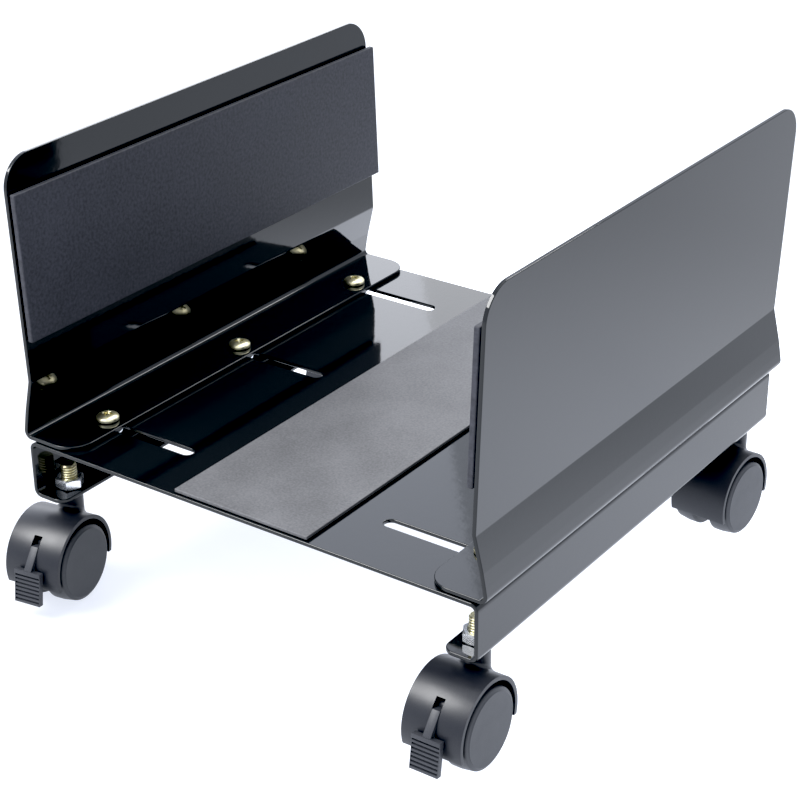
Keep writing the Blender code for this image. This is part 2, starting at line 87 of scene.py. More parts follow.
# Slots and fasteners
SLOT_INNER_X = 0.0567
SLOT_OUTER_X = 0.116
SLOT_WIDTH = 0.0066
SCREW_RADIUS = 0.003
SCREW_PITCH = 0.001
SCREW_POINT = 0.0006
SCREW_HEAD_RADIUS = 0.00575
SCREW_HEAD_HEIGHT = 0.0038  # of the CAD solid, which seats the finer head
SCREW_HEAD_EDGE = 0.0011  # height of the head's upright side
SCREW_HEAD_TOP = 0.0033
SCREW_HEAD_FLATNESS = 1.1
SCREW_HEAD_ROUNDING = 0.0003
SCREW_LENGTH = 0.016
SHANK_OVERLAP = 0.0001  # how far the shank reaches into the head
SCREW_TURNS = (15, 48, 80, 33, 62, 5)  # how each screw happens to be turned, in degrees
RECESS_DEPTH = 0.0016
RECESS_HALF_LENGTH = 0.0030
RECESS_HALF_WIDTH = 0.00085
RECESS_FLOOR_SHARE = 0.45  # of a blade's length, left at the bottom of the recess
RECESS_WIDTH_TAPER = 0.4
RECESS_CLEARANCE = 0.0004  # how far the cutting shape stands over the head
THREAD_DEPTH = 0.6  # share of the pitch
THREAD_FLANK = 1.25  # above 1, the crests are flat
STEM_RADIUS = 0.004
STEM_PITCH = 0.0014
STEM_POINT = 0.0007
STEM_PIN_RADIUS = 0.0028
STEM_PIN_ROUNDING = 0.0005
STEM_PIN_OVERLAP = 0.0002  # how far the pin reaches into the thread
NUT_CORNER_RADIUS = 0.00733
NUT_HEIGHT = 0.005
NUT_FACE_SHARE = 0.97  # of the width across flats, left flat at the ends
NUT_BLANK_OVERSIZE = 1.004
NUT_CHAMFER_ANGLE = math.radians(30)
BORE_CHAMFER = 0.0006
FLANGE_NUT_RADIUS = 0.0071
FLANGE_NUT_HEIGHT = 0.006
FLANGE_NUT_HEX_RADIUS = 0.00577
FLANGE_NUT_RIM = 0.00216  # thickness of the flange beside the hexagon
FLANGE_NUT_RIM_SHARE = 0.9  # of the hexagon's radius, where that thickness is reached
FLANGE_NUT_ROUNDING = 0.0003
FLANGE_NUT_EDGE = 0.0009
FLANGE_NUT_SINK = 0.0004  # the hexagon starts this far under the flange's face

# Caster, around its axle: X along the axle, -Y the front
TRAIL = 0.0138
WHEEL_RADIUS = 0.020
WHEEL_INNER_FACE = 0.0048
WHEEL_OUTER_FACE = 0.0163
WHEEL_DISH = ((0.0, 0.0), (0.006, 0.00003), (0.012, 0.00010))  # radius, depth under the outer face
WHEEL_RING = ((0.0026, 0.00018), (0.0024, 0.00030), (0.0020, 0.00062))  # inset from the tread, depth
WHEEL_EDGE_RADIUS = 0.0011
WHEEL_EDGE_INSET = 0.0018  # centre of the edge's arc, from the tread and from the outer face
WHEEL_EDGE_START = math.radians(60)
WHEEL_CROWN_WIDTH = 0.0068  # the tread tapers over this width to the outer edge
WHEEL_INNER_EDGE = 0.0006
WHEEL_TREAD_WALL = 0.003
WHEEL_HUB_RADIUS = 0.0068
WHEEL_GROOVE_DEPTH = 0.0012
WHEEL_GROOVE_SLOPE = 0.0004
WHEEL_BORE_END = 0.0137
HOOD_RADIUS = 0.0232
HOOD_WALL = 0.002
HOOD_RISE = 0.001
HOOD_HALF_WIDTH = 0.0152
HOOD_FRONT_ANGLE = math.radians(197.5)
HOOD_REAR_ANGLE = math.radians(-15)
HOOD_ROUNDING = 0.0005
WEB_HALF_WIDTH = 0.0044
AXLE_RADIUS = 0.003
AXLE_HALF_LENGTH = 0.0134
AXLE_ROUNDING = 0.0004
NECK_RADIUS = 0.006
NECK_FILLET = 0.0026
NECK_ROUNDING = 0.0004
NECK_SINK = 0.0012  # how deep the neck starts below the hood's outer face
STEM_BORE_BOTTOM = 0.0067
WASHER_ROUNDING = 0.0002
LEVER_PIVOT = (-0.0120, 0.0135)
LEVER_PIN_RADIUS = 0.0012
LEVER_PIN_HALF_LENGTH = 0.0041
LEVER_PIN_ROUNDING = 0.0002
LEVER_EYE_RADIUS = 0.0023
LEVER_EYE_START = math.radians(-110)
LEVER_EYE_END = math.radians(165)
LEVER_ARM_WIDTH = 0.004
LEVER_ARM_ROUNDING = 0.0002
LEVER_ARM_TOP = (-0.0188, 0.0150)
LEVER_ARM_FRONT = (-0.0265, 0.0052)
LEVER_ARM_BACK = (-0.0238, 0.0034)
LEVER_TAB_WIDTH = 0.0146
LEVER_TAB_FRONT = ((-0.0270, 0.0053), (-0.0295, -0.0117))
LEVER_TAB_BACK = ((-0.0262, -0.0121), (-0.0238, 0.0048))
LEVER_TAB_ROUNDING = 0.00016
LEVER_RIBS = 7
RIB_DEPTH = 0.0009
# Groove between two ribs: share of the ribs' pitch, depth under their crests
RIB_GROOVE = ((0.04, -0.0003), (0.10, RIB_DEPTH), (0.46, RIB_DEPTH), (0.58, -0.0003))
RIB_END_WALL = 0.0003  # the grooves stop short of the tab's sides
RIB_MARGIN = 0.0004  # plain strip under the last rib
LEDGE_HEIGHT = 0.0021
LEDGE_STEP = 0.0005
LEVER_SLOT_WIDTH = 0.0046
LEVER_SLOT_TOP = 0.019
LEVER_SLOT_BACK = -0.0082

CASTER_NAMES = ("front_left", "front_right", "rear_left", "rear_right")
CLAMP_PLACES = ("front", "middle", "rear")
SIDE_VIEW = Matrix(((0, 0, 1, 0), (1, 0, 0, 0), (0, 1, 0, 0), (0, 0, 0, 1)))

tray_low, tray_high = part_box("base_tray")
DECK_TOP = tray_high.z
DECK_Y = (tray_low.y + tray_high.y) / 2


# ---------------------------------------------------------------- mesh helpers

def new_object(name, mesh):
    piece = bpy.data.objects.new(name, mesh)
    bpy.context.scene.collection.objects.link(piece)
    return piece


def evaluated_mesh(piece):
    """The welded mesh that an object evaluates to. The object itself is removed."""
    graph = bpy.context.evaluated_depsgraph_get()
    mesh = bpy.data.meshes.new_from_object(piece.evaluated_get(graph))
    bpy.data.objects.remove(piece, do_unlink=True)
    work = bmesh.new()
    work.from_mesh(mesh)
    bmesh.ops.remove_doubles(work, verts=work.verts, dist=WELD_DISTANCE)
    work.to_mesh(mesh)
    work.free()
    return mesh


def combined(mesh, steps):
    """Apply (other mesh, operation) steps to a mesh."""
    base = new_object("base", mesh)
    tools = []
    for other, operation in steps:
        tool = new_object("tool", other)
        boolean = base.modifiers.new("cut", "BOOLEAN")
        boolean.operation = operation
        boolean.solver = "EXACT"
        boolean.object = tool
        tools.append(tool)
    result = evaluated_mesh(base)
    for tool in tools:
        bpy.data.objects.remove(tool, do_unlink=True)
    return result


def bevelled(mesh, width, segments, angle):
    """Round every edge sharper than the angle, given in degrees."""
    piece = new_object("bevelled", mesh)
    bevel = piece.modifiers.new("edges", "BEVEL")
    bevel.width = width
    bevel.segments = segments
    bevel.limit_method = "ANGLE"
    bevel.angle_limit = math.radians(angle)
    return evaluated_mesh(piece)


def smoothed(mesh, angle=SHARP_ANGLE):
    """Smooth shading, with edges sharper than the angle, given in degrees, kept sharp."""
    mesh.shade_smooth()
    mesh.set_sharp_from_angle(angle=math.radians(angle))
    return mesh


def outline_mesh(outlines, low, high, placing=Matrix()):
    """A filled flat outline, with holes where outlines nest, from low to high along its normal."""
    curve = bpy.data.curves.new("outline", "CURVE")
    curve.dimensions = "2D"
    curve.fill_mode = "BOTH"
    curve.extrude = (high - low) / 2
    for outline in outlines:
        spline = curve.splines.new("POLY")
        spline.points.add(len(outline) - 1)
        for point, (x, y) in zip(spline.points, outline):
            point.co = (x, y, 0.0, 1.0)
        spline.use_cyclic_u = True
    mesh = evaluated_mesh(new_object("outline", curve))
    mesh.transform(placing @ Matrix.Translation((0, 0, (low + high) / 2)))
    return mesh


def turned_mesh(profile, steps):
    """Turn a (radius, height) profile, listed from top to bottom, about Z."""
    mesh = bpy.data.meshes.new("turned")
    edges = [(count, count + 1) for count in range(len(profile) - 1)]
    mesh.from_pydata([(radius, 0.0, height) for radius, height in profile], edges, [])
    shape = new_object("turned", mesh)
    screw = shape.modifiers.new("turn", "SCREW")
    screw.steps = steps
    screw.render_steps = steps
    screw.use_merge_vertices = True
    screw.merge_threshold = TURN_WELD_DISTANCE
    return evaluated_mesh(shape)


def cylinder_mesh(radius, start, end, steps=48):
    """A closed cylinder from one point to another."""
    start, end = Vector(start), Vector(end)
    along = end - start
    turn = Vector((0, 0, 1)).rotation_difference(along).to_matrix().to_4x4()
    work = bmesh.new()
    bmesh.ops.create_cone(work, cap_ends=True, segments=steps, radius1=radius, radius2=radius,
                          depth=along.length, matrix=Matrix.Translation((start + end) / 2) @ turn)
    mesh = bpy.data.meshes.new("cylinder")
    work.to_mesh(mesh)
    work.free()
    return mesh


def box_mesh(low, high):
    """A box between two opposite corners."""
    low, high = Vector(low), Vector(high)
    work = bmesh.new()
    bmesh.ops.create_cube(work, size=1.0)
    bmesh.ops.scale(work, vec=high - low, verts=work.verts)
    bmesh.ops.translate(work, vec=(low + high) / 2, verts=work.verts)
    mesh = bpy.data.meshes.new("box")
    work.to_mesh(mesh)
    work.free()
    return mesh


def grid_mesh(rows):
    """A closed tube of point rows, each a closed ring of the same length."""
    work = bmesh.new()
    rings = [[work.verts.new(point) for point in row] for row in rows]
    count = len(rows[0])
    for ring, following in zip(rings, rings[1:]):
        for step in range(count):
            after = (step + 1) % count
            work.faces.new((ring[step], ring[after], following[after], following[step]))
    work.faces.new(reversed(rings[0]))
    work.faces.new(rings[-1])
    mesh = bpy.data.meshes.new("grid")
    work.to_mesh(mesh)
    work.free()
    return mesh


def joined(*meshes):
    """Several closed meshes in one."""
    work = bmesh.new()
    for mesh in meshes:
        work.from_mesh(mesh)
    result = bpy.data.meshes.new("joined")
    work.to_mesh(result)
    work.free()
    return result


def arc(centre, radius, start, end, steps):
    """Points along an arc, ends included, with the angles in radians."""
    angles = [start + (end - start) * count / steps for count in range(steps + 1)]
    return [(centre[0] + radius * math.cos(a), centre[1] + radius * math.sin(a)) for a in angles]


def circle(centre, radius, steps=48):
    return arc(centre, radius, 0.0, math.tau, steps)[:-1]


def slot_outline(low_x, high_x, y, width, steps=16):
    """A slot along X with round ends."""
    radius = width / 2
    quarter = math.pi / 2
    right = arc((high_x - radius, y), radius, -quarter, quarter, steps)
    return right + arc((low_x + radius, y), radius, quarter, 3 * quarter, steps)


def corner_outline(corner, inward, radius, steps=16):
    """What a round corner takes off: inward gives the signs of the directions into the sheet."""
    x, y = corner
    sign_x, sign_y = inward
    start = (x + sign_x * radius, y + sign_y * radius)
    angles = [math.pi / 2 * count / steps for count in range(steps + 1)]
    round_side = [(start[0] - sign_x * radius * math.sin(a),
                   start[1] - sign_y * radius * math.cos(a)) for a in angles]
    far_x = x - sign_x * REACH
    far_y = y - sign_y * REACH
    return round_side + [(far_x, start[1]), (far_x, far_y), (start[0], far_y)]


def rounded_path(corners, radii):
    """Replace each inner corner of an open path by an arc of its own radius."""
    path = [corners[0]]
    for before, corner, after, radius in zip(corners, corners[1:], corners[2:], radii):
        before, corner, after = Vector(before), Vector(corner), Vector(after)
        to_start = (before - corner).normalized()
        to_end = (after - corner).normalized()
        half = to_start.angle(to_end) / 2
        centre = corner + (to_start + to_end).normalized() * (radius / math.sin(half))
        first = corner + to_start * (radius / math.tan(half)) - centre
        last = corner + to_end * (radius / math.tan(half)) - centre
        turn = first.angle_signed(last)
        for count in range(BEND_STEPS + 1):
            spoke = first.copy()
            spoke.rotate(Matrix.Rotation(-turn * count / BEND_STEPS, 2))
            path.append(tuple(centre + spoke))
    path.append(corners[-1])
    return path


def folded_sheet(corners, radii, front, rear, cuts):
    """A sheet folded along Y, cut by meshes and with softened edges."""
    path = rounded_path(corners, radii)
    work = bmesh.new()
    front_edge = [work.verts.new((x, front, z)) for x, z in path]
    rear_edge = [work.verts.new((x, rear, z)) for x, z in path]
    for count in range(len(path) - 1):
        work.faces.new((front_edge[count], front_edge[count + 1],
                        rear_edge[count + 1], rear_edge[count]))
    mesh = bpy.data.meshes.new("sheet")
    work.to_mesh(mesh)
    work.free()
    sheet = new_object("sheet", mesh)
    solidify = sheet.modifiers.new("sheet", "SOLIDIFY")
    solidify.thickness = SHEET
    solidify.offset = 0.0
    solidify.use_even_offset = True
    mesh = combined(evaluated_mesh(sheet), [(cut, "DIFFERENCE") for cut in cuts])
    return smoothed(bevelled(mesh, EDGE_ROUNDING, segments=EDGE_STEPS, angle=50))


def centre_of(node):
    low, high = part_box(node)
    return (low + high) / 2


def place(name, mesh, slot, body, node, placing=Matrix()):
    """Show a mesh in place of a CAD node, riding on the node's body."""
    piece = new_object(name, mesh)
    if not mesh.materials:
        mesh.materials.append(MATERIALS[slot])
    piece.matrix_world = placing
    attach(piece, body)
    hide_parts(node)
    return piece


def keep_flats_flat(piece):
    """Weight the normals by area, so that a bevel doesn't shade the flat beside it."""
    weighted = piece.modifiers.new("flats", "WEIGHTED_NORMAL")
    weighted.keep_sharp = True
    weighted.weight = 100


# ---------------------------------------------------------------- materials

NOISE_LOW = 0.35  # the noises' values lie mostly between these two
NOISE_HIGH = 0.65
OPEN_SHARE = 0.85  # of the view that is open, above which a surface keeps its colour without painted shade
CLOSED_SHARE = 0.45  # at and below which it takes the full painted shade


def new_material(name, colour, roughness, metallic=0.0):
    material = bpy.data.materials.new(name)
    material.use_nodes = True
    shader = material.node_tree.nodes["Principled BSDF"]
    shader.inputs["Base Color"].default_value = (*colour, 1.0)
    shader.inputs["Roughness"].default_value = roughness
    shader.inputs["Metallic"].default_value = metallic
    return material


def add_noise(material, scale, detail):
    nodes, links = material.node_tree.nodes, material.node_tree.links
    coordinates = nodes.new("ShaderNodeTexCoord")
    noise = nodes.new("ShaderNodeTexNoise")
    noise.inputs["Scale"].default_value = scale
    noise.inputs["Detail"].default_value = detail
    links.new(coordinates.outputs["Object"], noise.inputs["Vector"])
    return noise


def mix_noises(material, fine, coarse, share):
    """The fine noise with a share of the coarse one."""
    nodes, links = material.node_tree.nodes, material.node_tree.links
    blend = nodes.new("ShaderNodeMix")
    blend.inputs["Factor"].default_value = share
    links.new(output_of(fine), blend.inputs["A"])
    links.new(output_of(coarse), blend.inputs["B"])
    return blend


def output_of(node):
    """The value that a noise, or a blend of noises, puts out."""
    return node.outputs["Fac"] if "Fac" in node.outputs else node.outputs["Result"]


def add_ramp(material, source, low, high):
    """A colour ramp over a value: each end is (position, colour)."""
    nodes, links = material.node_tree.nodes, material.node_tree.links
    ramp = nodes.new("ShaderNodeValToRGB")
    for element, (position, colour) in zip(ramp.color_ramp.elements, (low, high)):
        element.position = position
        element.color = (*colour, 1.0)
    links.new(source, ramp.inputs["Fac"])
    return ramp


def add_bump(material, noise, strength, distance):
    nodes, links = material.node_tree.nodes, material.node_tree.links
    shader = nodes["Principled BSDF"]
    bump = nodes.new("ShaderNodeBump")
    bump.inputs["Strength"].default_value = strength
    bump.inputs["Distance"].default_value = distance
    links.new(output_of(noise), bump.inputs["Height"])
    if shader.inputs["Normal"].is_linked:
        links.new(shader.inputs["Normal"].links[0].from_socket, bump.inputs["Normal"])
    links.new(bump.outputs["Normal"], shader.inputs["Normal"])


def vary_colour(material, noise, dark, light):
    nodes, links = material.node_tree.nodes, material.node_tree.links
    ramp = add_ramp(material, output_of(noise), (NOISE_LOW, dark), (NOISE_HIGH, light))
    links.new(ramp.outputs["Color"], nodes["Principled BSDF"].inputs["Base Color"])


def vary_roughness(material, noise, low, high):
    nodes, links = material.node_tree.nodes, material.node_tree.links
    spread = nodes.new("ShaderNodeMapRange")
    spread.inputs["To Min"].default_value = low
    spread.inputs["To Max"].default_value = high
    links.new(output_of(noise), spread.inputs["Value"])
    links.new(spread.outputs["Result"], nodes["Principled BSDF"].inputs["Roughness"])


def gloss_paint():
    """Black gloss paint with the slight orange peel of a sprayed coat."""
    material = new_material("gloss_paint", (0.005, 0.006, 0.007), 0.05)
    peel = add_noise(material, scale=260.0, detail=2.0)
    vary_roughness(material, peel, low=0.035, high=0.075)
    add_bump(material, peel, strength=0.06, distance=0.0002)
    return material


def foam(name, dark, light, roughness, cell_scale=1400.0, cloud_share=0.0):
    """Closed cell foam: fine cells, with slow clouds where the light catches its sheen."""
    material = new_material(name, light, roughness)
    cells = add_noise(material, scale=cell_scale, detail=5.0)
    clouds = add_noise(material, scale=28.0, detail=3.0)
    vary_colour(material, mix_noises(material, cells, clouds, cloud_share), dark, light)
    add_bump(material, cells, strength=0.35, distance=0.00015)
    vary_roughness(material, clouds, low=roughness - 0.06, high=roughness + 0.06)
    return material


def moulded_plastic(name, dark, light, roughness):
    """Nylon with a fine moulded grain and the slow marks of its flow."""
    material = new_material(name, light, roughness)
    grain = add_noise(material, scale=2600.0, detail=2.0)
    vary_colour(material, grain, dark, light)
    add_bump(material, grain, strength=0.25, distance=0.00006)
    flow = add_noise(material, scale=120.0, detail=2.0)
    vary_roughness(material, flow, low=roughness - 0.05, high=roughness + 0.05)
    return material


def paint_recess_shade(material, distance, shade):
    """Paint shade into the colour where the surface is close to itself, as in thread roots: the
    colour is multiplied by a darker value there.
    """
    nodes, links = material.node_tree.nodes, material.node_tree.links
    colour = nodes["Principled BSDF"].inputs["Base Color"]
    closeness = nodes.new("ShaderNodeAmbientOcclusion")
    closeness.only_local = True
    closeness.inputs["Distance"].default_value = distance
    ramp = add_ramp(material, closeness.outputs["AO"], (CLOSED_SHARE, (shade,) * 3),
                    (OPEN_SHARE, (1.0,) * 3))
    blend = nodes.new("ShaderNodeMix")
    blend.data_type = "RGBA"
    blend.blend_type = "MULTIPLY"
    blend.inputs["Factor"].default_value = 1.0
    links.new(colour.links[0].from_socket, blend.inputs["A"])
    links.new(ramp.outputs["Color"], blend.inputs["B"])
    links.new(blend.outputs["Result"], colour)


def plated_metal(name, dark, light, roughness):
    """Metal whose plating varies in tint and gloss, with painted shade darkening its colour in its
    recesses.
    """
    material = new_material(name, light, roughness, metallic=1.0)
    tint = add_noise(material, scale=500.0, detail=3.0)
    vary_colour(material, tint, dark, light)
    # painted shade: the colour is darkened in thread roots and recesses, where the surface is close
    # to itself
    paint_recess_shade(material, distance=0.0012, shade=0.12)
    fine = add_noise(material, scale=2200.0, detail=2.0)
    vary_roughness(material, fine, low=roughness - 0.07, high=roughness + 0.07)
    add_bump(material, fine, strength=0.08, distance=0.00005)
    return material


# Each slot's material: its name, dark and light colour and roughness
MATERIALS = {
    "painted_steel": gloss_paint(),
    # One foam in two colours: the side pads' darker colour is painted shade, and the centre pad's
    # lighter colour is painted light from above
    "side_foam": foam("side_foam_painted_dark", (0.016, 0.0165, 0.0215), (0.040, 0.041, 0.052), 0.62,
                      cell_scale=620.0, cloud_share=0.25),
    "centre_foam": foam("centre_foam_painted_light", (0.075, 0.075, 0.078), (0.138, 0.138, 0.143), 0.55,
                        cell_scale=900.0, cloud_share=0.45),
    "pad_tape": foam("foam_tape", (0.004, 0.004, 0.005), (0.008, 0.008, 0.009), 0.7),
    "yellow_zinc": plated_metal("yellow_plating", (0.88, 0.80, 0.47), (0.97, 0.93, 0.67), 0.30),
    "bright_zinc": plated_metal("bright_plating", (0.80, 0.83, 0.88), (0.93, 0.95, 0.98), 0.27),
    "plain_steel": plated_metal("bare_steel", (0.42, 0.43, 0.45), (0.58, 0.59, 0.62), 0.3),
    "black_nylon": moulded_plastic("hood_nylon", (0.007, 0.008, 0.012),
                                   (0.012, 0.013, 0.018), 0.36),
    "wheel_plastic": moulded_plastic("wheel_nylon", (0.022, 0.023, 0.027),
                                     (0.030, 0.032, 0.037), 0.45),
    "lever_plastic": moulded_plastic("lever_nylon", (0.026, 0.027, 0.032),
                                     (0.036, 0.038, 0.045), 0.42),
}


# ---------------------------------------------------------------- tray, brackets and pads

def make_tray():
    """The channel with its flanges and lips, from one folded sheet."""
    half = tray_high.x
    side = half - SHEET / 2
    top = tray_high.z - SHEET / 2
    bottom = tray_low.z + SHEET / 2
    lip = half - LIP_WIDTH
    corners = [(lip, bottom), (side, bottom), (side, top),
               (-side, top), (-side, bottom), (-lip, bottom)]
    slots = []
    for place_name in CLAMP_PLACES:
        y = centre_of(f"right_{place_name}_clamp_screw").y
        slots.append(slot_outline(SLOT_INNER_X, SLOT_OUTER_X, y, SLOT_WIDTH))
        slots.append(slot_outline(-SLOT_OUTER_X, -SLOT_INNER_X, y, SLOT_WIDTH))
    lip_cuts = []
    for name in CASTER_NAMES:
        stem = centre_of(f"{name}_stem")
        sign_x = math.copysign(1, stem.x)
        sign_y = math.copysign(1, stem.y - DECK_Y)
        end = tray_high.y if sign_y > 0 else tray_low.y
        lip_cuts.append(circle((stem.x, stem.y), STEM_RADIUS + FIT_GAP))
        lip_cuts.append(corner_outline((sign_x * lip, end), (sign_x, -sign_y), LIP_CORNER_RADIUS))
    cuts = [outline_mesh(slots, top - REACH, top + REACH),
            outline_mesh(lip_cuts, bottom - REACH, bottom + REACH)]
    mesh = folded_sheet(corners, [BEND_RADIUS] * 4, tray_low.y, tray_high.y, cuts)
    keep_flats_flat(place("tray_sheet", mesh, "painted_steel", "base", "base_tray"))


def make_bracket(side_name, side):
    """One side bracket: foot, heel, slanted lower part and upper plate. side is -1 or 1."""
    node = f"{side_name}_side_bracket"
    low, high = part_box(node)
    foot = low.z + SHEET / 2
    profile = [(x, DECK_TOP + z) for x, z in (HEEL_EASE, HEEL_KNEE, WAIST, BRACKET_TOP)]
    corners = [(side * x, z) for x, z in [(FOOT_INNER_X, foot), (HEEL_X, foot)] + profile]
    radii = [BEND_RADIUS, EASE_RADIUS, KNEE_RADIUS, BEND_RADIUS]
    if side < 0:
        corners.reverse()
        radii.reverse()
    ends = ((low.y, 1), (high.y, -1))
    foot_cuts = []
    for place_name in CLAMP_PLACES:
        screw = centre_of(f"{side_name}_{place_name}_clamp_screw")
        foot_cuts.append(circle((screw.x, screw.y), SLOT_WIDTH / 2))
    foot_cuts += [corner_outline((side * FOOT_INNER_X, y), (side, into), FOOT_CORNER_RADIUS)
                  for y, into in ends]
    top_cuts = [corner_outline((y, high.z), (into, -1), BRACKET_CORNER_RADIUS) for y, into in ends]
    reach = sorted((side * (BRACKET_TOP[0] - REACH), side * (BRACKET_TOP[0] + REACH)))
    cuts = [outline_mesh(foot_cuts, foot - REACH, foot + REACH),
            outline_mesh(top_cuts, reach[0], reach[1], SIDE_VIEW)]
    mesh = folded_sheet(corners, radii, low.y, high.y, cuts)
    sheet = place(f"{side_name}_bracket_sheet", mesh, "painted_steel", f"{side_name}_bracket", node)
    keep_flats_flat(sheet)


def foam_block(size, rounding):
    """A cut foam block with soft edges, centred on the origin."""
    half = Vector(size) / 2
    return smoothed(bevelled(box_mesh(-half, half), rounding, segments=3, angle=40))


def make_pads():
    """The centre pad, and the side pads, which lean with the brackets' upper plates."""
    low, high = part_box("centre_pad")
    mesh = foam_block(high - low, CENTRE_PAD_ROUNDING)
    pad = place("centre_foam_pad", mesh, "centre_foam", "base", "centre_pad",
                Matrix.Translation((low + high) / 2))
    keep_flats_flat(pad)
    lean = math.atan2(BRACKET_TOP[0] - WAIST[0], BRACKET_TOP[1] - WAIST[1])
    for side_name, side in (("left", -1), ("right", 1)):
        low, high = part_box(f"{side_name}_side_pad")
        height = ((high.z - low.z) - PAD_THICKNESS * math.sin(lean)) / math.cos(lean)
        mesh = foam_block((PAD_THICKNESS, high.y - low.y, height), SIDE_PAD_ROUNDING)
        placing = Matrix.Translation((low + high) / 2) @ Matrix.Rotation(side * lean, 4, "Y")
        pad = place(f"{side_name}_foam_pad", mesh, "side_foam", f"{side_name}_bracket",
                    f"{side_name}_side_pad", placing)
        keep_flats_flat(pad)
        tape = frame["nodes"][f"{side_name}_side_tape"]
        tape.data.materials.clear()
        tape.data.materials.append(MATERIALS["pad_tape"])


# ---------------------------------------------------------------- fasteners

def thread_mesh(radius, pitch, low, high, chamfer, around, per_pitch):
    """A threaded rod along Z: the crest winds once round for each pitch."""
    depth = THREAD_DEPTH * pitch
    rows = []
    count = max(2, round((high - low) / pitch * per_pitch))
    for level in range(count + 1):
        z = low + (high - low) * level / count
        ends = min(high - z, z - low)
        limit = radius - max(0.0, chamfer - ends)
        row = []
        for step in range(around):
            turn = step / around
            phase = (z / pitch - turn) % 1.0
            crest = 1 - abs(2 * phase - 1)
            r = min(radius - depth * (1 - min(1.0, THREAD_FLANK * crest)), limit)
            row.append((r * math.cos(math.tau * turn), r * math.sin(math.tau * turn), z))
        rows.append(row)
    return grid_mesh(rows)


def cross_recess_mesh(top, depth):
    """The tool shape of a cross recess: two crossed blades that taper downwards."""
    blades = []
    for turn in (0.0, math.pi / 2):
        rows = []
        for share, z in ((1.0, top), (RECESS_FLOOR_SHARE, top - depth)):
            x = RECESS_HALF_LENGTH * share
            y = RECESS_HALF_WIDTH * (1 - RECESS_WIDTH_TAPER + RECESS_WIDTH_TAPER * share)
            corners = [(-x, -y), (x, -y), (x, y), (-x, y)]
            rows.append([(cx * math.cos(turn) - cy * math.sin(turn),
                          cx * math.sin(turn) + cy * math.cos(turn), z) for cx, cy in corners])
        rows.reverse()
        blades.append(grid_mesh(rows))
    return blades


def clamp_screw_mesh():
    """Pan head screw with a cross recess, the underside of its head at z = 0."""
    steps = 18
    angles = [math.pi / 2 * count / steps for count in range(steps)]
    flatness = 1 / SCREW_HEAD_FLATNESS
    dome = [(SCREW_HEAD_RADIUS * math.sin(a) ** flatness, SCREW_HEAD_EDGE
             + (SCREW_HEAD_TOP - SCREW_HEAD_EDGE) * math.cos(a) ** flatness)
            for a in angles] + [(SCREW_HEAD_RADIUS, SCREW_HEAD_EDGE)]
    rim = [(SCREW_HEAD_RADIUS, SCREW_HEAD_ROUNDING),
           (SCREW_HEAD_RADIUS - SCREW_HEAD_ROUNDING, 0.0), (0.0, 0.0)]
    head = turned_mesh(dome + rim, steps=56)
    blades = cross_recess_mesh(SCREW_HEAD_TOP + RECESS_CLEARANCE, RECESS_DEPTH + RECESS_CLEARANCE)
    head = combined(head, [(blade, "DIFFERENCE") for blade in blades])
    shank = thread_mesh(SCREW_RADIUS, SCREW_PITCH, -SCREW_LENGTH, SHANK_OVERLAP, SCREW_POINT,
                        around=28, per_pitch=6)
    return smoothed(joined(head, shank), BLEND_ANGLE)


def nut_blank_mesh(corner_radius, low, high):
    """Hexagon with its corners turned off at both ends, not yet bored."""
    hexagon = outline_mesh([circle((0, 0), corner_radius, steps=6)], low - REACH, high + REACH)
    face = corner_radius * math.cos(math.pi / 6) * NUT_FACE_SHARE
    outer = corner_radius * NUT_BLANK_OVERSIZE
    drop = (outer - face) * math.tan(NUT_CHAMFER_ANGLE)
    round_blank = turned_mesh([(0, high), (face, high), (outer, high - drop),
                               (outer, low + drop), (face, low), (0, low)], steps=96)
    return combined(hexagon, [(round_blank, "INTERSECT")])


def bore_mesh(bore, low, high):
    """The tool shape of a bore with a chamfer at each end."""
    chamfer = BORE_CHAMFER
    wide = bore + 2 * chamfer
    return turned_mesh([(0, high + chamfer), (wide, high + chamfer), (bore, high - chamfer),
                        (bore, low + chamfer), (wide, low - chamfer), (0, low - chamfer)], steps=48)


def hex_nut_mesh():
    """Nut of the caster stem, standing on z = 0."""
    blank = nut_blank_mesh(NUT_CORNER_RADIUS, 0.0, NUT_HEIGHT)
    bore = bore_mesh(STEM_RADIUS + FIT_GAP / 2, 0.0, NUT_HEIGHT)
    return smoothed(combined(blank, [(bore, "DIFFERENCE")]))


def flange_nut_mesh():
    """Flange nut with its flange's face at z = 0 and the hexagon below."""
    radius, rounding = FLANGE_NUT_RADIUS, FLANGE_NUT_ROUNDING
    inner = FLANGE_NUT_HEX_RADIUS * FLANGE_NUT_RIM_SHARE
    rim = turned_mesh([(0, 0), (radius - rounding, 0), (radius, -rounding),
                       (radius, -FLANGE_NUT_EDGE), (inner, -FLANGE_NUT_RIM),
                       (0, -FLANGE_NUT_RIM)], steps=64)
    hexagon = nut_blank_mesh(FLANGE_NUT_HEX_RADIUS, -FLANGE_NUT_HEIGHT, -FLANGE_NUT_SINK)
    bore = bore_mesh(SCREW_RADIUS + FIT_GAP / 2, -FLANGE_NUT_HEIGHT, 0.0)
    return smoothed(combined(rim, [(hexagon, "UNION"), (bore, "DIFFERENCE")]))


